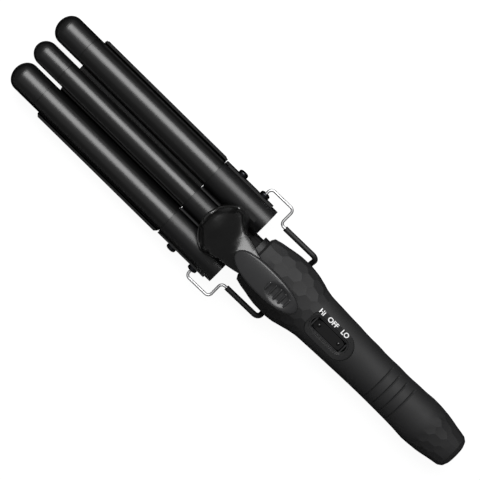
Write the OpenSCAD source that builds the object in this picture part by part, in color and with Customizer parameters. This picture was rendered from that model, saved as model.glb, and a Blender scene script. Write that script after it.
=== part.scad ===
// Triple-barrel hair waver: a fixed middle barrel on a wave plate, and a sprung upper jaw that
// carries the two outer barrels. The jaw opens when its thumb pad is pressed.
//
// X runs along the tool from the barrel tips to the cord end, Y across it, and Z up. The origin is
// on the resting surface, below the middle of the tool. Inside the modules X is measured from the
// seam between the heated tubes and their collars, and Z from the axis of the outer barrels.

/* [Barrels] */
// Distance from the middle barrel's axis to each outer barrel's axis
barrel_spacing = 21.4; // [21:0.1:24]
// Diameter of the two outer heated tubes
outer_tube_d = 20.5; // [18:0.1:21]
// Diameter of the middle heated tube
middle_tube_d = 16.7; // [14:0.1:17]
// Height of the middle barrel's axis above the outer ones
middle_rise = 1.9; // [0:0.1:2.5]
// Length of the heated tubes
tube_len = 115.8; // [90:0.1:150]
// Wall of the heated tubes
tube_wall = 0.8; // [0.6:0.1:1.2]
// Length of the tip caps
tip_len = 26; // [18:0.5:32]
// Depth of the dome on each tip cap
dome_depth = 8.6; // [6:0.1:10]
// Length of the spigots that hold the tubes
spigot_len = 6; // [4:0.5:8]
// Length of the heater in each barrel
heater_len = 84; // [60:1:88]

/* [Collars] */
// Radius by which a collar stands proud of its tube
collar_proud = 0.55; // [0.2:0.05:0.8]
// Length of the two outer collars
collar_len = 47.2; // [44:0.1:52]
// Length of the middle collar
middle_collar_len = 17.4; // [15:0.1:18]
// Depth of the outer collars' half-shells below the barrel axis
collar_skirt = 4; // [2:0.1:5]
// Wall of the outer collars' half-shells
collar_wall = 1.8; // [1.4:0.1:2.4]

/* [Jaw hinge] */
// Distance from the tube seam to the jaw's hinge pins
hinge_setback = 13.8; // [12.5:0.1:15]
// Diameter of the hinge pins
hinge_pin_d = 4; // [3:0.1:5]
// Reach of the hinge pins into the collars
hinge_pin_reach = 8; // [6:0.1:9]
// Diameter of the round heads on the cradle's sides
knob_d = 7; // [6:0.1:8]
// Height of the round heads
knob_h = 2.9; // [2:0.1:3.4]

/* [Wave plate and cover] */
// Gap between the plate's troughs and the outer tubes, for the hair
hair_gap = 1.2; // [0.8:0.1:2]
// Wall of the wave plate
plate_wall = 1.75; // [1.4:0.05:2.2]
// Length of the wave plate
plate_len = 111; // [86:1:145]
// Depth of the plate's two ridges below the barrel axis
ridge_drop = 2.5; // [1.5:0.1:4]
// Wall of the cover below the plate
cover_wall = 1.7; // [1.4:0.1:2.2]
// Length of the cover's corner chamfers
plate_chamfer = 3; // [1:0.1:5]

/* [Cradle] */
// Height of the barrel axis above the resting surface
axis_height = 19; // [18.5:0.1:21]
// Half the width of the cradle past the axis of an outer barrel
cradle_side = 11.6; // [11.4:0.1:12]
// Distance from the tube seam to the rear end of the cradle's sides
cradle_len = 42.4; // [40:0.1:43]
// Wall of the cradle's sides
side_wall = 1.5; // [1.2:0.1:1.8]
// Wall of the cradle's floor and front
floor_wall = 2; // [1.6:0.1:3]
// Height of the cradle's rim above the barrel axis
rim_rise = 3; // [2:0.1:4]
// Wall of the middle collar's channel
channel_wall = 1.1; // [0.9:0.1:1.3]
// Height of the channel's walls above the barrel axis
channel_rise = 8; // [6:0.1:9]
// Depth of the channel's rear walls below the barrel axis
channel_drop = 5.4; // [4.8:0.1:6.5]
// Width by which the neck stands out behind the collars, on each side
neck_proud = 0.6; // [0:0.1:2.5]
// Length of the neck behind the outer collars
neck_len = 10; // [9:0.1:14]

/* [Lever] */
// Radius of the saddle's front edge, seen from above
saddle_r = 21; // [20:0.1:22]
// Distance from the tube seam to the saddle's front edge
saddle_front = 14.8; // [14.8:0.1:16]
// Length of the thumb pad
pad_len = 54.4; // [48:0.1:58]
// Width of the thumb pad
pad_w = 18.2; // [16:0.1:19]
// Distance from the tube seam to the middle of the thumb pad
pad_x = 72.7; // [70:0.1:75]
// Height of the thumb pad's seat above the barrel axis
pad_rise = 33.4; // [33:0.1:36]
// Slope of the thumb pad, in degrees
pad_slope = 4; // [2:0.1:5]
// Thickness of the thumb pad at its crown
pad_crown = 6; // [5:0.1:7]
// Number of ribs across the thumb pad's dish
rib_count = 5; // [3:1:6]
// Distance from one rib to the next
rib_pitch = 4.2; // [3.4:0.1:4.5]

/* [Handle] */
// Length of the handle
handle_len = 185; // [170:1:210]
// Width of the handle at its bulge
bulge_w = 45.6; // [42:0.1:47]
// Width of the grip
grip_w = 32.2; // [31:0.1:36]
// Width of the flare near the cord end
flare_w = 33.8; // [32:0.1:36]
// Height of the handle's top above the barrel axis at the grip
grip_rise = 15.2; // [14.6:0.1:16.5]
// Depth of the handle's bottom below the barrel axis at the grip
grip_drop = 15.4; // [14.6:0.1:16]
// Wall of the handle's shells
shell_wall = 2.6; // [2.2:0.1:3]
// Depth of the finger waves under the grip
wave_depth = 1.6; // [0:0.1:2]
// Distance from one finger wave to the next
wave_pitch = 19; // [16:0.1:22]
// Depth of the ring grooves across the grip
groove_depth = 0.6; // [0.2:0.05:1]
// Number of ring grooves
groove_count = 4; // [1:1:5]
// Distance from one ring groove to the next
groove_pitch = 6.8; // [6:0.1:8]

/* [Switch] */
// Distance from the handle's front end to the middle of the switch
switch_x = 69.6; // [68:0.1:75]
// Length of the switch's oval bezel
bezel_len = 36.4; // [34:0.1:38]
// Width of the bezel
bezel_w = 19.6; // [18:0.1:20.5]
// Distance by which the bezel reaches further behind the switch than before it
bezel_lag = 2.8; // [0:0.1:4]
// Thickness of the bezel
bezel_t = 1.8; // [1.4:0.1:2.2]
// Height of the bezel's face above the barrel axis
bezel_rise = 12.6; // [12.2:0.1:13]
// Length of the bezel's slot
slot_len = 28.8; // [26:0.1:30]
// Width of the bezel's slot
slot_w = 10.2; // [9:0.1:11]
// Length of the rocker
rocker_len = 23.4; // [21:0.1:25]
// Width of the rocker
rocker_w = 7.4; // [6:0.1:8.5]
// Angle by which the rocker rocks to each side, in degrees
rocker_swing = 6; // [4:0.5:7]

/* [Stand] */
// Diameter of the stand's wire
wire_d = 2; // [1.8:0.1:2.2]
// Diameter of the rubber sleeve
sleeve_d = 3.8; // [3.4:0.1:4]
// Distance from the tube seam to the stand's pivots
stand_setback = 33.4; // [32:0.1:35]
// Distance from the cradle's sides to the wire's outer run
stand_reach = 7.6; // [6.6:0.1:11]
// Distance from the middle of the tool to the wire's inner run
stand_inner = 27.8; // [27.5:0.1:29]
// Distance from the pivots to the inward step of the wire
stand_step = 20.6; // [20:0.1:23]
// Length of the stand from its pivots
stand_len = 54; // [52:0.1:60]
// Slope of the folded stand, in degrees
stand_slope = 4; // [2:0.1:5]

/* [Cord inlet] */
// Bore for the mains cord
cord_bore_d = 6.2; // [5:0.1:7]
// Diameter of the gland where it passes through the handle's end
gland_d = 11; // [10:0.1:12]

/* [Hidden] */
$fn = 48;

// Clearances
running_gap = 0.3;   // between parts that move past each other
fit_gap = 0.1;       // between parts that are fitted together
pin_gap = 0.05;      // round a pin that turns
cut = 1;             // how far a cutting body stands past what it cuts

// Places along the tool, from the tube seam
seam_gap = 0.3;
outer_r = outer_tube_d / 2;
middle_r = middle_tube_d / 2;
collar_r = outer_r + collar_proud;
middle_collar_r = middle_r + collar_proud;
handle_x = collar_len + neck_len;
total_len = tip_len + tube_len + handle_x + handle_len;
seam_x = tip_len + tube_len - total_len / 2;
plate_x = -seam_gap - fit_gap - plate_len;
trough_r = outer_r + hair_gap;
plate_r = trough_r + plate_wall;
saddle_seat_r = middle_r + fit_gap;
cradle_half_w = barrel_spacing + cradle_side;
channel_half_w = barrel_spacing - collar_r - running_gap - fit_gap;
cheek_in = channel_half_w + running_gap;
cheek_out = cradle_half_w - side_wall - running_gap;
mouth_half_w = 15.9;     // the handle's front end
mouth_half_h = 10.6;
handle_fullness = 2.15;  // of the handle's sections
sides = [-1, 1];

// ---------- Geometry helpers ----------

// The frame in which every part is drawn: the tube seam, at the height of the barrel axis
module placed() translate([seam_x, 0, axis_height]) children();

// A profile in Y and Z, extruded along X
module along_x(x, length) translate([x, 0, 0]) rotate([90, 0, 90]) linear_extrude(length) children();

// A profile in X and Z, extruded along Y about the middle of the tool
module across(width) rotate([90, 0, 0]) linear_extrude(width, center = true) children();

module rod_x(x, length, r, y = 0, z = 0)
    translate([x, y, z]) rotate([0, 90, 0]) cylinder(r = r, h = length);

module rod_y(y, length, r, x, z = 0)
    translate([x, y, z]) rotate([-90, 0, 0]) cylinder(r = r, h = length);

module both_sides() { children(); mirror([0, 1, 0]) children(); }

module block(x, y, z) // each argument is a [from, to] range
    translate([x[0], y[0], z[0]]) cube([x[1] - x[0], y[1] - y[0], z[1] - z[0]]);

function unit(v) = v / norm(v);

// The arc that rounds the corner q between the points p and s
function fillet(p, q, s, r, steps) =
    let(a = unit(p - q), b = unit(s - q), half = acos(a * b) / 2,
        c = q + unit(a + b) * r / sin(half), turn = 180 - 2 * half,
        from = q + a * r / tan(half) - c, to = q + b * r / tan(half) - c)
    [for (i = [0:steps]) let(k = i / steps)
        c + (sin((1 - k) * turn) * from + sin(k * turn) * to) / sin(turn)];

// A closed outline with its corners rounded, each by its own radius
function rounded(points, radii, steps = 6) =
    let(n = len(points))
    [for (i = [0:n - 1])
        each radii[i] > 0
            ? fillet(points[(i + n - 1) % n], points[i], points[(i + 1) % n], radii[i], steps)
            : [points[i]]];

// One half of an outline and its mirror image, as one closed outline
function mirrored(half) =
    concat(half, [for (i = [len(half) - 1:-1:0]) [-half[i][0], half[i][1]]]);

// A superellipse, rounder than a rectangle and fuller than an ellipse
function oval(half_w, half_h, fullness = 2.3, steps = 48) =
    [for (i = [0:steps - 1]) let(a = 360 * i / steps)
        [half_w * sign(cos(a)) * pow(abs(cos(a)), 2 / fullness),
         half_h * sign(sin(a)) * pow(abs(sin(a)), 2 / fullness)]];

// A smooth curve through the rows of a table, read from the given column
function smooth_at(x, table, column) =
    let(last = len(table) - 1,
        i = max([for (k = [0:last - 1]) if (table[k][0] <= x || k == 0) k]),
        a = table[i], b = table[i + 1], p = table[max(i - 1, 0)], q = table[min(i + 2, last)],
        h = b[0] - a[0], t = (x - a[0]) / h,
        slope_a = (b[column] - p[column]) / (b[0] - p[0]) * h,
        slope_b = (q[column] - a[column]) / (q[0] - a[0]) * h)
    (2 * t * t * t - 3 * t * t + 1) * a[column] + (t * t * t - 2 * t * t + t) * slope_a
        + (3 * t * t - 2 * t * t * t) * b[column] + (t * t * t - t * t) * slope_b;

// Triangles between two rows of points. A row lists [index of the point, place along the row].
function strip(a, b, i = 0, j = 0) =
    i == len(a) - 1 && j == len(b) - 1 ? []
    : let(on_a = j == len(b) - 1
            || (i < len(a) - 1 && a[i][1] + a[i + 1][1] <= b[j][1] + b[j + 1][1]))
      on_a ? concat([[a[i][0], b[j][0], a[i + 1][0]]], strip(a, b, i + 1, j))
           : concat([[a[i][0], b[j][0], b[j + 1][0]]], strip(a, b, i, j + 1));

// A closed body through rings that all have the same number of points
module loft(rings) {
    n = len(rings[0]);
    last = len(rings) - 1;
    points = [for (ring = rings) each ring];
    skin = [for (k = [0:last - 1], i = [0:n - 1])
        let(a = k * n + i, b = k * n + (i + 1) % n) each [[a, a + n, b], [b, a + n, b + n]]];
    front = [for (i = [0:n - 1]) i];
    rear = [for (i = [n - 1:-1:0]) last * n + i];
    polyhedron(concat(points), concat(skin, [front], [rear]));
}

// A round bar swept along a path of points
module swept(path, r, steps = 8) {
    n = len(path);
    rings = [for (k = [0:n - 1])
        let(t = unit(path[min(k + 1, n - 1)] - path[max(k - 1, 0)]),
            side = unit(cross(t, abs(t[2]) > 0.9 ? [1, 0, 0] : [0, 0, 1])),
            up = cross(side, t))
        [for (i = [0:steps - 1]) let(a = -360 * i / steps)
            path[k] + r * (cos(a) * side + sin(a) * up)]];
    loft(rings);
}

// ---------- Barrels ----------

module tube(r, y, z) difference() {
    rod_x(-tube_len, tube_len - seam_gap, r, y, z);
    rod_x(-tube_len - cut, tube_len + 2 * cut, r - tube_wall, y, z);
}

// A tip cap, with a domed front end and a spigot inside the tube
module tip(r, y, z) {
    body = tip_len - dome_depth - seam_gap;
    spigot_r = r - tube_wall - fit_gap;
    profile = concat(
        [[0, 0], [spigot_r, 0], [spigot_r, spigot_len], [r, spigot_len]],
        [for (a = [0:7.5:90])
            [r * cos(a), spigot_len + body + dome_depth * sin(a)]]);
    translate([-tube_len - seam_gap + spigot_len, y, z]) rotate([0, -90, 0])
        rotate_extrude() polygon(profile);
}

heater_rear = -12; // where the heater bars end inside the tubes

// A ceramic heater bar between two half-round aluminium shoes
module heater(r, y, z) {
    shoe_r = r - tube_wall - running_gap;
    bar_h = 2.4;
    x = heater_rear - 2 - heater_len;
    for (s = sides) intersection() {
        rod_x(x, heater_len, shoe_r, y, z);
        block([x, x + heater_len], [y - r, y + r],
              s > 0 ? [z + bar_h / 2 + fit_gap, z + r] : [z - r, z - bar_h / 2 - fit_gap]);
    }
    bar_half_w = shoe_r - 2;
    block([x - 2, x + heater_len + 2], [y - bar_half_w, y + bar_half_w],
          [z - bar_h / 2, z + bar_h / 2]);
}

module left_barrel() color("#17181a") placed() tube(outer_r, barrel_spacing, 0);
module right_barrel() color("#17181a") placed() tube(outer_r, -barrel_spacing, 0);
module middle_barrel() color("#17181a") placed() tube(middle_r, 0, middle_rise);
module left_tip() color("#1d1e20") placed() tip(outer_r, barrel_spacing, 0);
module right_tip() color("#1d1e20") placed() tip(outer_r, -barrel_spacing, 0);
module middle_tip() color("#1d1e20") placed() tip(middle_r, 0, middle_rise);
module left_heater() color("silver") placed() heater(outer_r, barrel_spacing, 0);
module right_heater() color("silver") placed() heater(outer_r, -barrel_spacing, 0);
module middle_heater() color("silver") placed() heater(middle_r, 0, middle_rise);

// ---------- Collars ----------

collar_front_len = hinge_setback - 2;          // full round ahead of the hinge
hinge_boss_r = hinge_pin_d / 2 + 3;
step_r = cradle_len - hinge_setback + running_gap; // the wide rear end starts on this arc
recess_x = [hinge_setback + 17, hinge_setback + 27];
recess_out = 0.6;                              // how far the recess reaches past the barrel axis
recess_depth = 0.45;
lead_bore_r = 2.6;
lead_y = barrel_spacing - 5.6;

// An outer collar: full round at the front, with a hinge boss, and a half-shell behind it
module outer_collar() {
    round_r = outer_r - tube_wall - fit_gap;
    difference() {
        union() {
            rod_x(-spigot_len, spigot_len + cut, round_r, barrel_spacing);
            intersection() {
                rod_x(0, collar_len, collar_r, barrel_spacing);
                union() {
                    block([0, collar_front_len], [cheek_in, cheek_out], [-collar_r, collar_r]);
                    block([0, step_r + hinge_setback], [cheek_in, cheek_out],
                          [-collar_skirt, collar_r]);
                    rod_y(cheek_in, cheek_out - cheek_in, hinge_boss_r, hinge_setback);
                    difference() {
                        block([cradle_len - 5, collar_len], [cheek_in, barrel_spacing + collar_r],
                              [-collar_skirt, collar_r]);
                        rod_y(cheek_in - cut, 2 * collar_r + 2 * cut, step_r, hinge_setback);
                    }
                }
            }
        }
        // the half-shell's hollow, behind the hinge boss
        intersection() {
            rod_x(hinge_setback + hinge_boss_r + 1, collar_len - hinge_setback - hinge_boss_r
                  - 1 - collar_wall, collar_r - collar_wall, barrel_spacing);
            block([0, collar_len], [cheek_in + collar_wall - 0.6, cheek_out - collar_wall],
                  [-collar_skirt - cut, collar_r]);
        }
        // the shallow recess in which the lever's foot lies
        translate([0, barrel_spacing + recess_out, collar_r - recess_depth])
            linear_extrude(recess_depth + cut)
            polygon([[recess_x[0], -4.6], [recess_x[0], -1.5], [recess_x[0] + 1.4, 0],
                     [recess_x[1] - 0.7, 0], [recess_x[1], -0.8], [recess_x[1], -4.6]]);
        // the heater leads' way through
        rod_x(-spigot_len - cut, hinge_setback + hinge_boss_r + 2 * cut + spigot_len,
              lead_bore_r, lead_y);
        // the hinge pin's bore
        rod_y(cheek_out - hinge_pin_reach - cut, hinge_pin_reach + 2 * cut,
              hinge_pin_d / 2 + pin_gap, hinge_setback);
    }
}

module left_collar() color("#222326") placed() outer_collar();
module right_collar() color("#222326") placed() mirror([0, 1, 0]) outer_collar();

// The middle collar lies in the cradle's channel
module middle_collar() color("#222326") placed() difference() {
    union() {
        rod_x(-spigot_len, spigot_len + cut, middle_r - tube_wall - fit_gap, 0, middle_rise);
        rod_x(0, middle_collar_len, middle_collar_r, 0, middle_rise);
    }
    rod_x(-spigot_len - cut, spigot_len + middle_collar_len + 2 * cut,
          middle_r - tube_wall - 2, 0, middle_rise);
}

// ---------- Lever ----------

// The jaw's spring stands between a seat in the neck and a pocket in the lever
spring_x = hinge_setback + 34;
spring_r = 4;
spring_wire_r = 0.55;
spring_turns = 6.5;
spring_seat = -2;
spring_top = 20.9;
spring_seat_r = spring_r + spring_wire_r + 1.2;
spring_pocket_r = spring_r + spring_wire_r + 0.8;
spring_peg_r = spring_r - spring_wire_r - 0.8;

saddle_clear = middle_rise + middle_collar_r + 0.9; // underside above the middle collar
seat_r = collar_r + pin_gap;
saddle_mid_x = saddle_front + saddle_r;

lip = saddle_clear + pin_gap; // the saddle's front edge
rim_top = lip + 1.4;          // top of the rim that runs round the saddle's front
wall_foot = 10.2;             // where the flanks leave the outer collars

// Stations of the lever: distance from the front, half-width and height of the foot, half-width
// and height of the roof's edge, height of the ridge, and how far the front rim is drawn out
lever_sections = [
    [0, 2.6, lip, 1.6, lip + 0.7, lip + 0.9, 0], [0.6, 5, lip, 3, rim_top, rim_top, 0],
    [1.7, 8.4, lip, 4, rim_top - 0.1, rim_top - 0.1, 0.5],
    [2.5, 10.2, 3, 4.4, rim_top - 0.3, rim_top - 0.6, 1], [3.4, 11.7, 3, 4.8, 15, 15.5, 1],
    [4, 12.5, 3, 5.2, 15.7, 16.5, 1], [6.2, 15.1, 3, 7.9, 15.8, 17.4, 1],
    [8.8, 17.4, 3, 10.9, 16, 18.6, 1], [11, 18.8, 3, 14, 16.4, 19.8, 1],
    [13, 19.8, 3, 17.2, 17.2, 21, 0.8], [14.4, 20, 3, 17.4, 18.8, 22, 0.3],
    [17.4, 19.8, 3, 16.4, 22, 24.4, 0], [20.8, 18.9, 3, 14.5, 25.2, 27.6, 0],
    [23.2, 17.6, 4, 13.5, 26.6, 29.6, 0], [24.6, 15.2, 8, 13, 27.2, 30.8, 0],
    [26, 13.2, 14.6, 12.6, 27.8, 31.8, 0], [28.6, 11.8, 20.4, 12.1, 28.4, 32.9, 0],
    [32.6, 10.6, 22.6, 11.4, 29.2, 33.8, 0], [38.4, 9, 25.4, 10, 30.6, 34.6, 0],
    [43, 7.6, 27.6, 8.6, 31.8, 35.2, 0], [49, 6.4, 29, 7, 33.6, 35.8, 0],
    [62, 5.6, 30.6, 6, 34.8, 37, 0], [74, 4.6, 32.2, 4.8, 35.8, 37.8, 0]];

function lever_ring(s) =
    let(x = saddle_front + s[0], foot_w = s[1], foot = s[2], edge_w = s[3], edge = s[4],
        crest = s[5], rim = s[6],
        from = [foot_w, max(foot + 0.3, wall_foot + 1.6 * rim)], to = [edge_w + 0.2, edge - 0.6],
        band = [[foot_w - 0.6, rim_top], [foot_w - 1.5, rim_top], [foot_w - 2.2, rim_top - 0.8]],
        half = concat(
            [[foot_w, foot], from],
            [for (i = [0:2]) rim * band[i] + (1 - rim) * (from + (i + 1) / 4 * (to - from))],
            [to, [edge_w - 0.3, edge], [edge_w * 0.66, edge + 0.38 * (crest - edge)],
             [edge_w * 0.32, edge + 0.74 * (crest - edge)]]),
        left = [for (i = [len(half) - 1:-1:0]) [-half[i][0], half[i][1]]])
    [for (p = concat(half, [[0, crest]], left)) [x, p[0], p[1]]];

// The frame of the thumb pad, sloping up towards its rear end
module pad_frame() translate([pad_x, 0, pad_rise]) rotate([0, -pad_slope, 0]) children();

module lever() color("#202124") placed() difference() {
    union() {
        loft([for (s = lever_sections) lever_ring(s)]);
        translate([spring_x, 0, spring_top]) cylinder(r = spring_pocket_r, h = 5);
    }
    translate([spring_x, 0, 0]) cylinder(r = spring_pocket_r, h = spring_top);
    both_sides() rod_x(0, collar_len + 40, seat_r, barrel_spacing);
    block([0, saddle_front + 23], [-channel_half_w - running_gap, channel_half_w + running_gap],
          [-collar_r, saddle_clear]);
    block([0, saddle_front + 30], [-saddle_mid_x, saddle_mid_x], [-collar_r, 3.4]);
    pad_frame() linear_extrude(20)
        polygon(oval(pad_len / 2 + fit_gap, pad_w / 2 + fit_gap, 2.2));
}

// The thumb pad: an oval cap with a rounded rim and a ribbed dish for the thumb
dish_x = 11.4;          // from the middle of the pad to the middle of the dish
dish_half = [11.6, 7];  // half the dish's length and width
dish_depth = 1.8;
pad_rim = 2.6;          // thickness of the pad at its rim
pad_round = 1.3;        // rounding of the rim
rib_r = 1;
rib_proud = 0.7;
rib_reach = 3.8;        // half the straight length of a rib

function pad_crest(x) = pad_rim + (pad_crown - pad_rim) * (1 - pow(abs(x) / (pad_len / 2), 2.4));

// A ring of the pad, drawn in towards the dish by a fraction, with an inset and a depth
function pad_ring(toward, inset, depth) =
    let(half_len = (1 - toward) * (pad_len / 2 - inset) + toward * dish_half[0],
        half_w = (1 - toward) * (pad_w / 2 - inset) + toward * dish_half[1])
    [for (p = oval(half_len, half_w, 2.2, 40)) let(x = p[0] + toward * dish_x)
        [x, p[1], max(0.7, pad_crest(x) - 0.9 * pow(p[1] / (pad_w / 2), 2) - depth)]];

// Depth of the dish at a fraction of its size: a level floor and a rounded wall
function dish_in(size) = dish_depth * (1 + cos(180 * max(0, size - 0.4) / 0.6)) / 2;

// A ring inside the dish, at a fraction of its size
function dish_ring(size) =
    [for (p = oval(dish_half[0] * size, dish_half[1] * size, 2.2, 40)) let(x = p[0] + dish_x)
        [x, p[1], pad_crest(x) - 0.9 * pow(p[1] / (pad_w / 2), 2) - dish_in(size)]];

module thumb_pad() color("#3a3b3e") placed() pad_frame() {
    loft(concat(
        [[for (p = oval(pad_len / 2 - 0.4, pad_w / 2 - 0.4, 2.2, 40)) [p[0], p[1], 0]],
         [for (p = oval(pad_len / 2, pad_w / 2, 2.2, 40)) [p[0], p[1], 0.6]]],
        [for (a = [0:22.5:90]) pad_ring(0, pad_round * (1 - cos(a)), pad_round * (1 - sin(a)))],
        [for (t = [0.25:0.25:0.75]) pad_ring(t, pad_round, 0)],
        [for (size = [1, 0.9, 0.8, 0.7, 0.6, 0.4, 0.2]) dish_ring(size)]));
    // ribs with round ends across the dish
    for (i = [0:rib_count - 1]) {
        x = dish_x + (i - (rib_count - 1) / 2) * rib_pitch - 0.6;
        reach = rib_reach * sqrt(1 - pow((x - dish_x) / dish_half[0], 2));
        z = pad_crest(x) - dish_in(abs(x - dish_x) / dish_half[0]) + rib_proud - rib_r;
        rod_y(-reach, 2 * reach, rib_r, x, z);
        for (s = sides) translate([x, s * reach, z]) sphere(r = rib_r);
    }
}

// ---------- Wave plate and its cover ----------

// The plate's section: three troughs in one wavy wall, and a keel for the cover's screws
keel_half_w = 3.4;
keel_depth = -middle_rise + saddle_seat_r + plate_wall + 3.2;
module plate_profile() difference() {
    union() {
        for (s = sides) translate([s * barrel_spacing, 0]) circle(plate_r);
        translate([0, middle_rise]) circle(saddle_seat_r + plate_wall);
        translate([-keel_half_w, -keel_depth]) square([2 * keel_half_w, keel_depth]);
    }
    for (s = sides) translate([s * barrel_spacing, 0]) circle(trough_r);
    translate([0, middle_rise]) circle(saddle_seat_r);
    translate([-barrel_spacing, -ridge_drop]) square([2 * barrel_spacing, 40]);
    translate([-60, 0]) square([120, 40]);
}

cover_screw_x = [for (k = [0.12, 0.5, 0.88]) plate_x + k * plate_len];
screw_r = 1.4;
screw_head_r = 2.6;
screw_head_h = 1.9;

module wave_plate() color("#101113") placed() difference() {
    along_x(plate_x, plate_len) plate_profile();
    for (x = cover_screw_x) translate([x, 0, -keel_depth - cut])
        cylinder(r = screw_r + pin_gap, h = 5);
    for (s = sides, e = [0, 1]) // the wings' corners
        translate([plate_x + e * plate_len, s * (barrel_spacing + plate_r), 0])
            rotate([0, 0, 45]) cube([plate_chamfer, plate_chamfer, 20], center = true);
}

cover_top = 6;   // depth of the cover's upper edge below the barrel axis
cover_half_w = barrel_spacing + sqrt(plate_r * plate_r - cover_top * cover_top);
cover_base_w = cradle_half_w - 7;
function cover_outline(inset) = rounded(
    mirrored([[cover_half_w - inset, -cover_top + inset],
              [cover_half_w - inset, -cover_top - 1.5],
              [cover_base_w - inset * 0.8, -axis_height + inset]]),
    [0, 4, 5, 5, 4, 0]);

module cover_section(inset) difference() {
    polygon(cover_outline(inset));
    for (s = sides) translate([s * barrel_spacing, 0]) circle(plate_r + pin_gap);
    translate([0, middle_rise]) circle(saddle_seat_r + plate_wall + pin_gap);
    translate([-keel_half_w - fit_gap, -keel_depth - pin_gap])
        square([2 * (keel_half_w + fit_gap), keel_depth]);
}

module plate_cover() color("#1b1c1e") placed() difference() {
    union() {
        difference() {
            along_x(plate_x, plate_len + fit_gap) cover_section(0);
            along_x(plate_x + cover_wall, plate_len - 2 * cover_wall)
                polygon(cover_outline(cover_wall));
        }
        for (x = cover_screw_x) translate([x, 0, -axis_height + cover_wall - 0.2])
            cylinder(r = 3.4, h = axis_height - cover_wall + 0.2 - keel_depth - pin_gap);
    }
    for (x = cover_screw_x) translate([x, 0, -axis_height - cut]) {
        cylinder(r = screw_r + fit_gap, h = axis_height);
        cylinder(r = screw_head_r + fit_gap, h = cut + 2.1);
    }
}

module cover_screws() color("silver") placed() for (x = cover_screw_x)
    translate([x, 0, -axis_height + 2.1 - screw_head_h + pin_gap]) {
        cylinder(r = screw_head_r, h = screw_head_h - 0.1);
        cylinder(r = screw_r, h = axis_height - keel_depth + 1);
    }

// Two flat heaters clipped under the troughs
heater_strip = [barrel_spacing - 8, barrel_spacing + 1.4];
module plate_heaters() color("#c9c7c0") placed() for (s = sides)
    block([plate_x + 16, plate_x + plate_len - 16],
          s > 0 ? heater_strip : [-heater_strip[1], -heater_strip[0]],
          [-plate_r - 2.2, -plate_r - pin_gap]);

// ---------- Cradle ----------

neck_half_w = channel_half_w + neck_proud;
neck_drop = 15.5;
neck_rise = -3.2;        // the neck's side walls end here
deck_drop = 4;           // the neck's deck lies this far below the barrel axis
deck_t = 1.4;
deck_x = cradle_len - 6; // where the deck starts
deck_floor = -8.2;       // the leads lie above this, under the deck
slope_start = cradle_len - 8;
slope_end_z = -axis_height + 5.5;
flange_x = handle_x - 3.8;
flange_half_w = 14.8;
flange_half_h = 10;
tenon_len = 12;
tenon_half_w = mouth_half_w - shell_wall - wave_depth - running_gap;
tenon_half_h = mouth_half_h - shell_wall - wave_depth - running_gap;
lead_slot_half_w = tenon_half_w - 2.8;

module cradle_shell() {
    along_x(seam_gap, cradle_len - seam_gap) polygon(rounded(
        mirrored([[cradle_half_w, rim_rise], [cradle_half_w, -4],
                  [cradle_half_w - 7, -axis_height]]),
        [0, 4, 5, 5, 4, 0]));
    // the middle collar's channel
    block([seam_gap, middle_collar_len], [-channel_half_w, channel_half_w],
          [-axis_height + 3, channel_rise]);
    // the neck
    along_x(cradle_len - cut, flange_x - cradle_len + 2 * cut) polygon(rounded(
        mirrored([[neck_half_w - neck_proud, neck_rise], [neck_half_w, neck_rise - 1.5],
                  [neck_half_w, -neck_drop + 3], [neck_half_w - 4, -neck_drop]]),
        [0, 1, 3, 3, 3, 3, 1, 0]));
    // the oval flange in front of the handle, and the tenon inside it
    along_x(flange_x, handle_x - flange_x - pin_gap) polygon(oval(flange_half_w, flange_half_h));
    along_x(handle_x - cut, tenon_len + cut)
        polygon(oval(tenon_half_w, tenon_half_h, handle_fullness));
}

// The two pockets in which the outer collars turn, with a floor that follows the sloped end
module collar_pocket() difference() {
    block([seam_gap + floor_wall, cradle_len + cut], [channel_half_w, cradle_half_w - side_wall],
          [-axis_height + floor_wall, channel_rise + cut]);
    across(3 * cradle_half_w) polygon([
        [slope_start, -axis_height], [slope_start, -axis_height + floor_wall],
        [cradle_len + 2 * cut, slope_end_z + floor_wall],
        [cradle_len + 2 * cut, -axis_height]]);
}

// A cut down the middle of the cradle, by default between the channel's walls
module channel_cut(x, z, half_w = channel_half_w - channel_wall) block(x, [-half_w, half_w], z);

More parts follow.
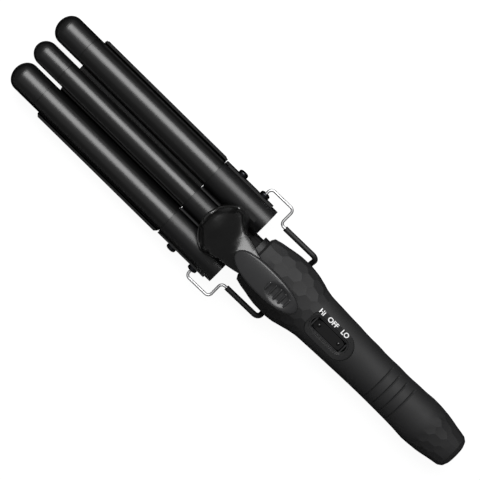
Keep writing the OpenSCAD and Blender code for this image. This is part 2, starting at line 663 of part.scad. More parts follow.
module cradle() color("#1e1f22") placed() difference() {
    union() {
        difference() {
            cradle_shell();
            both_sides() collar_pocket();
            // the notches for the collars in the front wall
            both_sides() rod_x(0, floor_wall + cut, collar_r + running_gap, barrel_spacing);
            both_sides() block([0, floor_wall + cut], [channel_half_w, cheek_out + running_gap],
                [0, rim_rise + cut]);
            // the channel
            rod_x(0, middle_collar_len + cut, middle_collar_r + pin_gap, 0, middle_rise);
            channel_cut([0, middle_collar_len + cut], [middle_rise, channel_rise + cut]);
            channel_cut([middle_collar_len, deck_x], [-channel_drop - 3, channel_rise + cut]);
            // the room for the leads below the deck, and the neck above it
            channel_cut([deck_x - cut, flange_x], [-channel_drop - 3, -deck_drop - deck_t]);
            channel_cut([deck_x, flange_x], [-deck_drop, channel_rise + cut]);
            // the channel's walls end lower behind the middle collar, and higher at the neck
            channel_cut([middle_collar_len, deck_x + cut], [-channel_drop, channel_rise + cut],
                        channel_half_w + cut);
            channel_cut([deck_x, cradle_len + cut], [neck_rise, channel_rise + cut],
                        channel_half_w + cut);
            // the cradle's rear end rises to the neck
            across(3 * cradle_half_w) polygon([[slope_start, -axis_height - cut],
                [slope_start, -axis_height], [cradle_len + 2 * cut, slope_end_z],
                [cradle_len + 2 * cut, -neck_drop - cut], [handle_x, -neck_drop - cut],
                [handle_x, -axis_height - cut]]);
            // the sides end on an arc about the hinge, clear of the collars' wide ends
            both_sides() difference() {
                block([cradle_len - 12, cradle_len + cut],
                      [channel_half_w + cut, cradle_half_w + cut],
                      [-axis_height - cut, rim_rise + cut]);
                rod_y(0, cradle_half_w + 2 * cut, cradle_len - hinge_setback, hinge_setback);
            }
            // the neck is as narrow as the channel between the collars
            both_sides() block([cradle_len, collar_len + running_gap],
                [channel_half_w, neck_half_w + cut], [-neck_drop - cut, 0]);
        }
        // the spring's seat
        translate([spring_x, 0, -deck_drop - deck_t / 2])
            cylinder(r = spring_seat_r, h = deck_drop + deck_t / 2 + spring_seat);
        translate([spring_x, 0, -deck_drop]) cylinder(r = spring_peg_r, h = deck_drop + 6);
    }
    // the leads' way into the handle, behind the flange's closed face
    channel_cut([flange_x - cut, flange_x + 2 * cut], [deck_floor, -deck_drop - deck_t],
                lead_slot_half_w);
    channel_cut([flange_x + 1, handle_x + 1], [deck_floor, -0.8], lead_slot_half_w);
    channel_cut([handle_x, handle_x + tenon_len + cut], [-tenon_half_h + 1.2, -0.8],
                lead_slot_half_w);
    both_sides() {
        rod_y(cheek_out, side_wall + 2 * cut, hinge_pin_d / 2 + pin_gap, hinge_setback);
        rod_y(cheek_out, side_wall + 2 * cut, wire_d / 2 + pin_gap, stand_setback);
    }
}

// A round head with a softened rim, lying on the cradle's side
module knob(x, bore_r) difference() {
    translate([x, cradle_half_w, 0]) rotate([-90, 0, 0]) rotate_extrude()
        polygon([[0, 0], [knob_d / 2, 0], [knob_d / 2, knob_h - 1], [knob_d / 2 - 0.3, knob_h - 0.4],
                 [knob_d / 2 - 1, knob_h], [0, knob_h]]);
    if (bore_r > 0) rod_y(cradle_half_w - cut, knob_h + 2 * cut, bore_r, x);
}

module hinge_pins() color("#26272a") placed() both_sides() {
    knob(hinge_setback, 0);
    rod_y(cheek_out - hinge_pin_reach, cradle_half_w - cheek_out + hinge_pin_reach + cut,
          hinge_pin_d / 2, hinge_setback);
}

module stand_ferrules() color("#26272a") placed() both_sides()
    knob(stand_setback, wire_d / 2 + pin_gap);

// ---------- Stand ----------

bend_r = 3;              // bends of the wire, on its centre line
stand_outer = cradle_half_w + stand_reach;
corner_r = 4;            // bends into the bow
// The bow's depth below the runs, so that its sleeve lies on the resting surface
bow_drop = (axis_height - sleeve_d / 2 - sin(stand_slope) * stand_len) / cos(stand_slope);
bow_sweep = 2 * atan(bow_drop / (stand_inner + corner_r)); // half of the bow's arc
bow_r = (stand_inner - corner_r * cos(bow_sweep)) / sin(bow_sweep);
sleeve_start = stand_step + bend_r + 1.2; // from the pivots

module stand_frame() translate([stand_setback, 0, 0]) rotate([0, stand_slope, 0]) children();

module ring(r, bore) difference() {
    circle(r);
    if (bore > 0) circle(bore);
}

// A straight stretch along the local Z axis. What follows is drawn from its end.
module run(length, r, bore) {
    linear_extrude(length) ring(r, bore);
    translate([0, 0, length]) children();
}

// A bend from the local Z axis towards the local X axis. What follows is drawn from its end.
module bend(radius, angle, r, bore) {
    multmatrix([[-1, 0, 0, radius], [0, 0, 1, 0], [0, 1, 0, 0]])
        rotate_extrude(angle = angle) translate([radius, 0]) ring(r, bore);
    translate([radius * (1 - cos(angle)), 0, radius * sin(angle)])
        rotate([0, angle, 0]) children();
}

// The end of an arm: the inner run, the corner, and its half of the bow
module arm_end(length, r, bore)
    rotate([0, 0, 180 + bow_sweep]) run(length, r, bore) bend(corner_r, 90, r, bore)
        rotate([0, 0, -90]) bend(bow_r, bow_sweep + 1, r, bore);

// Both halves of a stand's piece, joined below the middle of the tool
module joined_halves() both_sides() intersection() {
    children();
    block([-sleeve_d, stand_len + sleeve_d], [0, stand_outer + sleeve_d],
          [-bow_drop - sleeve_d, corner_r + sleeve_d]);
}

module stand_wire() color("#c8cacc") placed() stand_frame() joined_halves() {
    r = wire_d / 2;
    pivot_in = cradle_half_w - side_wall + 0.4;
    translate([0, pivot_in, 0]) rotate([-90, 0, 0])
        run(stand_outer - bend_r - pivot_in, r, 0) bend(bend_r, 90, r, 0)
        run(stand_step - 2 * bend_r, r, 0) bend(bend_r, 90, r, 0)
        run(stand_outer - stand_inner - 2 * bend_r, r, 0) rotate([0, 0, 180])
        bend(bend_r, 90, r, 0)
        arm_end(stand_len - corner_r - stand_step - bend_r, r, 0);
}

module stand_sleeve() color("#141517") placed() stand_frame() joined_halves()
    translate([sleeve_start, stand_inner, 0]) rotate([90, 0, 90])
        arm_end(stand_len - corner_r - sleeve_start, sleeve_d / 2, wire_d / 2 + pin_gap);

// ---------- Jaw spring ----------

module jaw_spring() color("#b5b7ba") placed() {
    steps = 14;
    low = spring_seat + spring_wire_r + pin_gap;
    high = spring_top - spring_wire_r;
    count = spring_turns * steps;
    swept([for (i = [0:count]) let(a = 360 * i / steps)
        [spring_x + spring_r * cos(a), spring_r * sin(a), low + (high - low) * i / count]],
        spring_wire_r, 6);
}

// ---------- Handle ----------

gland_wall = 6.4;        // thickness of the handle's end wall at the gland
gland_flange = 3;        // how far the gland reaches past that wall
mouth_end_x = handle_x + handle_len - gland_wall - gland_flange; // the gland's inner end

// Stations: fraction of the length, half-width, rise of the top, drop of the bottom
handle_sections = [
    [0, mouth_half_w, mouth_half_h, mouth_half_h],
    [0.008, 18.5, 12.3, 12.3],
    [0.075, bulge_w / 2 - 1.6, grip_rise - 0.8, grip_drop - 1.4],
    [0.15, bulge_w / 2, grip_rise + 0.2, grip_drop - 0.8],
    [0.232, bulge_w / 2 - 1.8, grip_rise + 0.2, grip_drop - 0.6],
    [0.277, grip_w / 2 + 2.1, grip_rise, grip_drop - 0.4],
    [0.346, grip_w / 2 + 1.2, grip_rise, grip_drop],
    [0.43, grip_w / 2 + 0.6, grip_rise, grip_drop],
    [0.585, grip_w / 2 - 0.2, grip_rise - 0.1, grip_drop],
    [0.753, grip_w / 2, grip_rise + 0.2, grip_drop + 0.4],
    [0.843, flare_w / 2, grip_rise + 1.1, grip_drop + 1],
    [0.905, flare_w / 2 - 1.6, grip_rise - 0.3, grip_drop - 0.3],
    [0.98, grip_w / 2 - 3.3, grip_rise - 2.8, grip_drop - 2.8],
    [0.993, grip_w / 2 - 5, grip_rise - 4.5, grip_drop - 4.5],
    [1, 8.2, 8, 8]];

facet_front = 0.31;   // the facets end here, as a fraction of the length
facet_rear = 0.82;    // and start again here
wave_from = 0.38;     // the finger waves lie between these fractions
wave_to = 0.8;
wave_crest = 80;      // one crest between the waves lies this far along the handle
groove_end = 0.731 * handle_len; // the last ring groove
groove_start = groove_end - (groove_count - 1) * groove_pitch;
groove_half_w = 0.9;

// How far the finger waves press in, at a distance along the handle and an angle round it
function wave_in(x, a) =
    let(k = x / handle_len, fade = min(1, max(0, (k - wave_from) * 12), max(0, (wave_to - k) * 12)))
    a <= 180 ? 0 : wave_depth * fade * (1 - cos(360 * (x - wave_crest) / wave_pitch)) / 2
        * pow(abs(sin(a)), 0.8);

function groove_in(x, a) =
    let(nearest = min([for (i = [0:groove_count - 1]) abs(x - groove_start - i * groove_pitch)]))
    a > 180 || nearest > groove_half_w ? 0
        : groove_depth * (1 - nearest / groove_half_w) * min(1, max(0, (sin(a) - 0.5) * 6));

// A point of the handle's skin, inset by a wall
function handle_point(x, a, wall) =
    let(k = min(max(x / handle_len, 0), 1),
        half_w = smooth_at(k, handle_sections, 1) - wall,
        half_h = smooth_at(k, handle_sections, a <= 180 ? 2 : 3) - wall,
        c = cos(a), s = sin(a), p = 2 / handle_fullness,
        dip = wall > 0 ? 0 : wave_in(x, a) + groove_in(x, a),
        shrink = 1 - dip / half_h)
    [handle_x + x, shrink * half_w * sign(c) * pow(abs(c), p),
     shrink * half_h * sign(s) * pow(abs(s), p)];

// Stations along the handle's skin: [distance, number of flats, half-step offset]. In pairs, with
// a long and a short step by turns, they make a honeycomb of hammered flats.
facet_len = 5.6;
facet_count = 8;
end_flats = 14;
grip_flats = 24;
function facet_stations(from, to) =
    let(n = round((to - from) / facet_len / 1.5), pitch = (to - from) / n)
    [for (i = [0:n - 1], e = [0, 1]) [from + pitch * (i + e * 2 / 3), facet_count, i % 2]];

// Both shells start and end alike. Between the flats the top has its ring grooves, and the
// bottom its finger waves.
front_stations = concat(
    [[0, end_flats, 0], [0.008 * handle_len, end_flats, 0]],
    facet_stations(0.035 * handle_len, facet_front * handle_len));
rear_stations = concat(
    facet_stations(facet_rear * handle_len + 4, 0.975 * handle_len),
    [for (k = [0.98, 0.993, 1]) [k * handle_len, end_flats, 0]]);

top_stations = concat(
    front_stations,
    [for (x = [facet_front * handle_len:9:groove_start - 2]) [x, grip_flats, 0]],
    [for (i = [0:groove_count - 1], d = [-groove_half_w, 0, groove_half_w])
        [groove_start + i * groove_pitch + d, grip_flats, 0]],
    [[groove_end + groove_pitch, grip_flats, 0], [facet_rear * handle_len, grip_flats, 0]],
    rear_stations);

bottom_stations = concat(
    front_stations,
    [for (x = [facet_front * handle_len:wave_pitch / 6:facet_rear * handle_len])
        [x, grip_flats, 0]],
    rear_stations);

// The angles of a station's points: the first and last always lie on the parting line
function station_angles(flats, offset, from) =
    offset == 0 ? [for (i = [0:flats]) from + 180 * i / flats]
    : concat([from], [for (i = [0:flats - 1]) from + 180 * (i + 0.5) / flats], [from + 180]);

// Half of the handle as a closed shell, from angle "from" over half a turn
inner_flats = 10;
module half_shell(stations, from) {
    inner_x = concat(
        [for (k = [0, 0.075, 0.15, 0.232, 0.277, 0.43, 0.6, 0.753, 0.843, 0.905]) k * handle_len],
        [handle_len - gland_wall]);
    outer = [for (s = stations) [for (a = station_angles(s[1], s[2], from))
        handle_point(s[0], a, 0)]];
    inner = [for (x = inner_x) [for (a = station_angles(inner_flats, 0, from))
        handle_point(x, a, shell_wall + (from > 0 ? wave_depth : 0))]];
    starts = [for (k = 0, n = 0; k <= len(outer); n = n + (k < len(outer) ? len(outer[k]) : 0),
        k = k + 1) n];
    base = starts[len(outer)];
    m = len(inner[0]);
    last = len(outer) - 1;
    inner_last = len(inner) - 1;
    function outer_row(k) = [for (i = [0:len(outer[k]) - 1])
        [starts[k] + i, station_angles(stations[k][1], stations[k][2], from)[i]]];
    function inner_row(k) = [for (i = [0:m - 1])
        [base + k * m + i, station_angles(inner_flats, 0, from)[i]]];
    outer_first = [for (k = [0:last]) [starts[k], stations[k][0]]];
    outer_final = [for (k = [0:last]) [starts[k + 1] - 1, stations[k][0]]];
    inner_first = [for (k = [0:inner_last]) [base + k * m, inner_x[k]]];
    inner_final = [for (k = [0:inner_last]) [base + k * m + m - 1, inner_x[k]]];
    polyhedron(
        [for (ring = concat(outer, inner)) each ring],
        concat(
            [for (k = [0:last - 1]) each strip(outer_row(k), outer_row(k + 1))],
            [for (k = [0:inner_last - 1]) each strip(inner_row(k + 1), inner_row(k))],
            strip(inner_row(0), outer_row(0)),
            strip(outer_first, inner_first),
            strip(inner_final, outer_final),
            [[for (i = [len(outer[last]) - 1:-1:0]) starts[last] + i]],
            [[for (i = [0:m - 1]) base + inner_last * m + i]],
            [[starts[last + 1] - 1, starts[last], inner_first[inner_last][0],
              inner_final[inner_last][0]]]));
}

front_screw_x = handle_x + tenon_len + 12;
rear_screw_x = handle_x + handle_len - 35;
handle_screw_x = [front_screw_x, rear_screw_x];
boss_r = 4.2;
boss_top = 13.5;
boss_drop = 13;
screw_seat = -8;         // the heads of the handle's screws lie below this
board_z = -6.5;
board_len = 62;
board_t = 1.6;
board_half_w = 8.6;
board_x = handle_x + switch_x - 19;
board_end = board_x + board_len;
capacitor_r = 4;
capacitor_h = 5;

module handle_top() color("#232427") placed() difference() {
    union() {
        half_shell(top_stations, 0);
        for (x = handle_screw_x) translate([x, 0, fit_gap])
            cylinder(r = boss_r, h = boss_top - fit_gap);
    }
    // the bezel's pocket and the switch's opening
    translate([handle_x + switch_x, 0, bezel_rise - bezel_t])
        linear_extrude(10) polygon(bezel_outline(fit_gap));
    translate([handle_x + switch_x, 0, 0])
        linear_extrude(20) polygon(oval(slot_len / 2 + 0.4, slot_w / 2 + 0.4, 5));
    gland_bore();
    for (x = handle_screw_x) translate([x, 0, -cut]) cylinder(r = screw_r + pin_gap, h = 9);
}

module handle_bottom() color("#232427") placed() difference() {
    union() {
        half_shell(bottom_stations, 180);
        for (x = handle_screw_x) translate([x, 0, -boss_drop])
            cylinder(r = boss_r, h = boss_drop - fit_gap);
        // the ribs that carry the circuit board
        for (x = [board_x + 4, board_end - 4])
            block([x - 1, x + 1], [-7, 7], [-12.4, board_z - pin_gap]);
    }
    gland_bore();
    for (x = handle_screw_x) translate([x, 0, -axis_height]) {
        cylinder(r = screw_r + fit_gap, h = 2 * axis_height);
        cylinder(r = screw_head_r + fit_gap, h = axis_height + screw_seat);
    }
}

module handle_screws() color("silver") placed() for (x = handle_screw_x)
    translate([x, 0, screw_seat]) {
        translate([0, 0, -screw_head_h]) cylinder(r = screw_head_r, h = screw_head_h - pin_gap);
        translate([0, 0, -1]) cylinder(r = screw_r, h = 16);
    }

// ---------- Switch ----------

function bezel_outline(grow) =
    let(from = -(bezel_len - bezel_lag) / 2 - grow, to = (bezel_len + bezel_lag) / 2 + grow,
        w = bezel_w / 2 + grow)
    rounded([[from, -w], [to, -w], [to, w], [from, w]], [7, 9.6, 9.6, 7], 10);

slot_step = 1.2;       // a shallow step runs round the slot
slot_step_depth = 0.7;

module at_switch() translate([handle_x + switch_x, 0, bezel_rise]) children();

module switch_bezel() color("#1a1b1d") placed() at_switch() difference() {
    translate([0, 0, -bezel_t + pin_gap]) linear_extrude(bezel_t - pin_gap)
        polygon(bezel_outline(0));
    translate([0, 0, -bezel_t - cut]) linear_extrude(bezel_t + 2 * cut)
        polygon(oval(slot_len / 2, slot_w / 2, 4));
    translate([0, 0, -slot_step_depth]) linear_extrude(slot_step_depth + cut)
        polygon(oval(slot_len / 2 + slot_step, slot_w / 2 + slot_step, 3.4));
}

rocker_pivot_z = -4.2;
rocker_half = rocker_len / 2;
rocker_drop = 6.2;     // the rocker's underside below the bezel's face
axle_r = 1;
bump_x = 8.7;          // from the middle of the rocker to each bump
bump_r = 1.8;
bump_proud = 0.5;

// Height of the rocker's hollow face, at a fraction of half its length. Its ends rise by the swing.
function rocker_face(k) = -1.7 + rocker_half * tan(rocker_swing) * k * k;

module rocker() color("#0e0e10") placed() at_switch() difference() {
    union() {
        intersection() {
            across(rocker_w) polygon(concat(
                [[-rocker_half, -2.4], [-3, -rocker_drop], [3, -rocker_drop], [rocker_half, -2.4]],
                [for (k = [1:-0.25:-1]) [k * rocker_half, rocker_face(k)]]));
            translate([0, 0, -rocker_drop - cut]) linear_extrude(rocker_drop + 3 * cut)
                polygon(oval(rocker_half, rocker_w / 2, 5));
        }
        // a round bump near each end, to be felt
        for (s = sides)
            translate([s * bump_x, 0, rocker_face(bump_x / rocker_half) + bump_proud - bump_r])
            sphere(r = bump_r);
    }
    rod_y(-rocker_w, 2 * rocker_w, axle_r + pin_gap, 0, rocker_pivot_z);
}

// The switch's body hangs below the bezel and carries the rocker's axle
module switch_body() color("#2c2d30") placed() at_switch() {
    half_len = slot_len / 2 - 1;
    half_w = slot_w / 2 + 1.2;
    well_half_w = rocker_w / 2 + 0.4;
    difference() {
        block([-half_len, half_len], [-half_w, half_w], [-12.2, -bezel_t]);
        block([-half_len + 1, half_len - 1], [-well_half_w, well_half_w],
              [-rocker_drop - 2.4, cut]);
    }
    rod_y(-well_half_w - 0.4, 2 * well_half_w + 0.8, axle_r, 0, rocker_pivot_z);
}

// ---------- Electrics ----------

lead_r = 1.1;

module circuit_board() color("#2e6b3f") placed() {
    board_top = board_z + board_t;
    block([board_x, board_end], [-board_half_w, board_half_w], [board_z, board_top]);
    translate([board_end - 14, 0, board_top]) cylinder(r = capacitor_r, h = capacitor_h);
    block([board_x + 8, board_x + 16], [-6, 2], [board_top, board_top + 2.4]); // the thermostat
}

// The heater leads run from the board through the tenon, below the deck, to the middle barrel
module heater_leads() color("#d8d4c8") placed() for (s = sides)
    swept([[board_x + 2, 3 * s, board_z + 2.8], [board_x - 12, 6.4 * s, -2.6],
           [handle_x + tenon_len, 7 * s, -2.6], [handle_x + 0.4, 7.1 * s, -3.2],
           [flange_x + 0.9, 7.2 * s, -6.8], [spring_x - 8, 7.4 * s, -6.8],
           [middle_collar_len + 9, 4.6 * s, -6.6], [middle_collar_len + 2, 2.4 * s, -2.2],
           [middle_collar_len - 5, 2 * s, 0.6], [heater_rear + pin_gap, 2 * s, middle_rise]],
           lead_r, 8);

module jaw_leads() color("#d8d4c8") placed() both_sides()
    swept([[heater_rear + pin_gap, lead_y, 0], [0, lead_y, 0], [hinge_setback + 8, lead_y, 0],
           [hinge_setback + 14, lead_y - 0.4, 0.6]], 1.4, 8);

// The mains leads pass the rear screw's boss on both sides and end short of the gland
module mains_leads() color("#3b3d42") placed() for (s = sides)
    let(past = (boss_r + lead_r + 0.7) * s)
    swept([[board_end - 6, 2 * s, board_z + board_t + lead_r + pin_gap],
           [board_end + 4, 3 * s, board_z + 4], [rear_screw_x - boss_r, past, -1.6],
           [rear_screw_x + boss_r, past, -1], [mouth_end_x - 8, 2.4 * s, 0],
           [mouth_end_x - 4, 2 * s, 0]], lead_r, 8);

// ---------- Cord inlet ----------

module gland_bore() rod_x(handle_x + handle_len - 14, 20, gland_d / 2 + pin_gap);

module cord_gland() color("#161719") placed() translate([handle_x + handle_len, 0, 0])
    rotate([0, 90, 0]) rotate_extrude() polygon([
        [cord_bore_d / 2, -gland_wall - gland_flange], [gland_d / 2 + 2, -gland_wall - gland_flange],
        [gland_d / 2 + 2, -gland_wall - 0.3], [gland_d / 2, -gland_wall - 0.3],
        [gland_d / 2, -0.9], [gland_d / 2 - 0.6, -0.3], [cord_bore_d / 2 + 0.7, -0.3],
        [cord_bore_d / 2, -1]]);

left_barrel();
right_barrel();
middle_barrel();
left_tip();
right_tip();
middle_tip();
left_collar();
right_collar();
middle_collar();
left_heater();
right_heater();
middle_heater();
lever();
thumb_pad();
wave_plate();
plate_cover();
plate_heaters();
cover_screws();
cradle();
hinge_pins();
stand_ferrules();
stand_wire();
stand_sleeve();
jaw_spring();
handle_top();
handle_bottom();
handle_screws();
switch_bezel();
switch_body();
rocker();
circuit_board();
heater_leads();
jaw_leads();
mains_leads();
cord_gland();
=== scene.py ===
import math

import bpy
from mathutils import Matrix, Vector
from mathutils.bvhtree import BVHTree


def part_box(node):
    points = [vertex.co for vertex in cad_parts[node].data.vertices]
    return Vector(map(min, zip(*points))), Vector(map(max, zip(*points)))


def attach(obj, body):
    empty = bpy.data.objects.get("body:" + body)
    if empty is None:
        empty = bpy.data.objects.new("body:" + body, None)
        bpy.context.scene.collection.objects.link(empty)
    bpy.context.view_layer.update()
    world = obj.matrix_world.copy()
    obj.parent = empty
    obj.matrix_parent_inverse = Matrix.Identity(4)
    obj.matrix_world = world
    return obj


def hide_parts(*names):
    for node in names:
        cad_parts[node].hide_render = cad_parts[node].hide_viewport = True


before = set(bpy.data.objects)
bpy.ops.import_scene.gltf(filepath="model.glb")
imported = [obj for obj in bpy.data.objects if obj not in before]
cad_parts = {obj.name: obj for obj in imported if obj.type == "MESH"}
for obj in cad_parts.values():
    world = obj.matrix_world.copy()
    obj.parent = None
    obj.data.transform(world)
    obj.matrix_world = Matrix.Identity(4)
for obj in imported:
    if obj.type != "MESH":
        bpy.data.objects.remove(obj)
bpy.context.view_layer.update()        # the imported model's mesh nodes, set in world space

MM = 0.001


# ---------- Node and material helpers ----------

NOISE_DETAIL = 3.0
NOISE_LOW, NOISE_HIGH = 0.3, 0.7     # nearly all of a noise lies between these
CLOUD_SIZE = 18 * MM                 # of the uneven patches in a moulded surface
CLOUD_ROUGHNESS = 0.55
GRAIN_ROUGHNESS = 0.6
COAT_ROUGHNESS = 0.1
# Sockets of the Mix node when it mixes colours
MIX_FACTOR, MIX_FIRST, MIX_SECOND, MIX_RESULT = 0, 6, 7, 2


def linear(hex_colour):
    """An sRGB hex colour as linear RGBA."""
    parts = [int(hex_colour[i:i + 2], 16) / 255 for i in (1, 3, 5)]
    return tuple(c / 12.92 if c <= 0.04045 else ((c + 0.055) / 1.055) ** 2.4
                 for c in parts) + (1.0,)


def add_node(tree, kind, settings=None, values=None, links=None):
    """A shader node with its settings, socket values and incoming links."""
    node = tree.nodes.new(kind)
    for key, value in (settings or {}).items():
        setattr(node, key, value)
    for key, value in (values or {}).items():
        node.inputs[key].default_value = value
    for key, socket in (links or {}).items():
        tree.links.new(socket, node.inputs[key])
    return node


def new_material(name):
    """An empty node material and its tree."""
    material = bpy.data.materials.new(name)
    material.use_nodes = True
    material.node_tree.nodes.clear()
    return material, material.node_tree


def plastic(name, colour, mottle, roughness, spread, grain_mm, bump_mm, ior=1.5, coat=0.0):
    """Moulded or coated plastic: a colour that varies a little, uneven polish and a fine grain."""
    material, tree = new_material(name)
    place = add_node(tree, "ShaderNodeTexCoord").outputs["Object"]
    cloud = add_node(tree, "ShaderNodeTexNoise",
                     values={"Scale": 1 / CLOUD_SIZE, "Detail": NOISE_DETAIL,
                             "Roughness": CLOUD_ROUGHNESS},
                     links={"Vector": place})
    grain = add_node(tree, "ShaderNodeTexNoise",
                     values={"Scale": 1 / (grain_mm * MM), "Detail": NOISE_DETAIL,
                             "Roughness": GRAIN_ROUGHNESS},
                     links={"Vector": place})
    tint = add_node(tree, "ShaderNodeMix", {"data_type": "RGBA"},
                    values={MIX_FIRST: linear(colour), MIX_SECOND: linear(mottle)},
                    links={MIX_FACTOR: cloud.outputs["Fac"]})
    polish = add_node(tree, "ShaderNodeMapRange",
                      values={"From Min": NOISE_LOW, "From Max": NOISE_HIGH,
                              "To Min": roughness - spread, "To Max": roughness + spread},
                      links={"Value": cloud.outputs["Fac"]})
    relief = add_node(tree, "ShaderNodeBump", values={"Strength": 1.0, "Distance": bump_mm * MM},
                      links={"Height": grain.outputs["Fac"]})
    surface = add_node(tree, "ShaderNodeBsdfPrincipled",
                       values={"IOR": ior, "Coat Weight": coat, "Coat Roughness": COAT_ROUGHNESS},
                       links={"Base Color": tint.outputs[MIX_RESULT],
                              "Roughness": polish.outputs[0], "Normal": relief.outputs[0]})
    add_node(tree, "ShaderNodeOutputMaterial", links={"Surface": surface.outputs[0]})
    return material


def metal(name, colour, roughness, spread, wear_mm, stretch=(1, 1, 1)):
    """A metal whose polish varies, drawn out along an axis where the wire or bar was drawn."""
    material, tree = new_material(name)
    place = add_node(tree, "ShaderNodeTexCoord").outputs["Object"]
    drawn = add_node(tree, "ShaderNodeMapping", values={"Scale": stretch}, links={"Vector": place})
    wear = add_node(tree, "ShaderNodeTexNoise",
                    values={"Scale": 1 / (wear_mm * MM), "Detail": NOISE_DETAIL},
                    links={"Vector": drawn.outputs[0]})
    polish = add_node(tree, "ShaderNodeMapRange",
                      values={"From Min": NOISE_LOW, "From Max": NOISE_HIGH,
                              "To Min": roughness - spread, "To Max": roughness + spread},
                      links={"Value": wear.outputs["Fac"]})
    surface = add_node(tree, "ShaderNodeBsdfPrincipled",
                       values={"Base Color": linear(colour), "Metallic": 1.0},
                       links={"Roughness": polish.outputs[0]})
    add_node(tree, "ShaderNodeOutputMaterial", links={"Surface": surface.outputs[0]})
    return material


def dress(material, *names):
    """Give CAD nodes a material in place of their own."""
    for name in names:
        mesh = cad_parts[name].data
        mesh.materials.clear()
        mesh.materials.append(material)


# ---------- Mesh helpers ----------

CAD_WELD = 0.001 * MM            # corners closer together than this are one corner
RIM_EDGE = math.radians(40)      # edges that turn more than this are rounded
RIM_SEGMENTS = 3
SLOT_X = 76.6 * MM
# Half length, half width and power of the slot's oval and of the step round it
SLOT_OVALS = ((14.4 * MM, 5.1 * MM, 4.0), (15.6 * MM, 6.3 * MM, 3.4))
OVAL_SLACK = 0.03                # how far off an oval a point still belongs to it
UPWARD = 0.15                    # a face whose normal rises more than this faces up
SOFTEN_CUTS = 3
SOFTEN_PULL = 0.5                # how far each round draws a point to its neighbours


def start_clean():
    """Nothing selected."""
    bpy.ops.object.select_all(action="DESELECT")


def smooth_copy(node, body, material, angle, rim_mm=0, reshape=None):
    """A joined-up copy of a node's loose triangles, smooth below an angle, its rims rounded."""
    start_clean()
    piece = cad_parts[node].copy()
    piece.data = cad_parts[node].data.copy()
    piece.name = node + "_skin"
    bpy.context.collection.objects.link(piece)
    piece.parent = None
    piece.matrix_world = Matrix()
    bpy.context.view_layer.objects.active = piece
    piece.select_set(True)
    bpy.ops.object.mode_set(mode="EDIT")
    bpy.ops.mesh.select_all(action="SELECT")
    bpy.ops.mesh.customdata_custom_splitnormals_clear()
    bpy.ops.mesh.remove_doubles(threshold=CAD_WELD)
    bpy.ops.object.mode_set(mode="OBJECT")
    if reshape:
        reshape(piece)
    if rim_mm:
        bpy.ops.object.modifier_add(type="BEVEL")
        rim = piece.modifiers[-1]
        rim.limit_method = "ANGLE"
        rim.angle_limit = RIM_EDGE
        rim.width = rim_mm * MM
        rim.segments = RIM_SEGMENTS
        bpy.ops.object.modifier_apply(modifier=rim.name)
    bpy.ops.object.shade_smooth_by_angle(angle=math.radians(angle))
    if rim_mm:
        bpy.ops.object.modifier_add(type="WEIGHTED_NORMAL")
        flatten = piece.modifiers[-1]
        flatten.keep_sharp = True
        bpy.ops.object.modifier_apply(modifier=flatten.name)
    piece.data.materials.clear()
    piece.data.materials.append(material)
    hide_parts(node)
    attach(piece, body)
    return piece


def round_slot(piece):
    """Draw the squarish ends of the switch's slot and of its step into half circles."""
    for half_length, half_width, power in SLOT_OVALS:
        for vertex in piece.data.vertices:
            x, y = vertex.co.x - SLOT_X, vertex.co.y
            on_oval = (abs(x) / half_length) ** power + (abs(y) / half_width) ** power
            straight = half_length - half_width
            if abs(on_oval - 1) < OVAL_SLACK and abs(x) > straight:
                reach = straight + math.sqrt(max(0, half_width ** 2 - y ** 2))
                vertex.co.x = SLOT_X + math.copysign(reach, x)


def soften(piece, low, high, rounds):
    """Blend the upward faces of a piece between two corners of a box into one soft slope."""
    start_clean()
    bpy.context.view_layer.objects.active = piece
    piece.select_set(True)
    bpy.ops.object.mode_set(mode="EDIT")
    bpy.ops.mesh.select_mode(type="FACE")
    bpy.ops.mesh.select_all(action="DESELECT")
    bpy.ops.object.mode_set(mode="OBJECT")
    for face in piece.data.polygons:
        inside = all(a * MM <= c <= b * MM for a, c, b in zip(low, face.center, high))
        face.select = inside and face.normal.z > UPWARD
    bpy.ops.object.mode_set(mode="EDIT")
    bpy.ops.mesh.subdivide(number_cuts=SOFTEN_CUTS)
    bpy.ops.mesh.vertices_smooth(factor=SOFTEN_PULL, repeat=rounds)
    bpy.ops.object.mode_set(mode="OBJECT")


# ---------- Finishes ----------
#
# The grain of moulded and painted parts is drawn at 0.3 to 0.6 mm, where the real one is about
# 0.1 mm wide, and the waves of glossy parts at 1.5 to 2.5 mm. Both are so shallow that they
# hardly change the light. Colour and roughness carry these finishes.

# Ceramic coating baked on drawn aluminium tube: near-black, glossy, with soft-edged reflections
ceramic = plastic("black_ceramic_coating", "#070707", "#0a0a0a", roughness=0.32, spread=0.015,
                  grain_mm=2.5, bump_mm=0.002, ior=1.6)
# The same coating on the pressed wave plate, a little duller
plate_coat = plastic("ceramic_coated_plate", "#060606", "#080808", roughness=0.36, spread=0.03,
                     grain_mm=1.5, bump_mm=0.004)
# Heat-resistant nylon of the tip caps, moulded and satin
nylon = plastic("moulded_nylon", "#0a0a0a", "#0d0d0e", roughness=0.34, spread=0.02,
                grain_mm=0.5, bump_mm=0.003, ior=1.6)
# The same nylon from a spark-eroded mould, for the collars: satin, and a little duller
grained = plastic("grained_nylon", "#0b0b0c", "#0f0f10", roughness=0.38, spread=0.03,
                  grain_mm=0.4, bump_mm=0.006)
# Nylon with more glass in it, for the cradle and the plate's cover: duller and darker
dull_nylon = plastic("glass_filled_cradle_nylon", "#08080a", "#0b0b0c", roughness=0.55,
                     spread=0.03, grain_mm=0.4, bump_mm=0.006)
# Polished ABS of the lever: black, with crisp highlights on its rim
lever_abs = plastic("polished_abs", "#060606", "#090909", roughness=0.34, spread=0.02,
                    grain_mm=1.5, bump_mm=0.003, ior=1.55, coat=0.3)
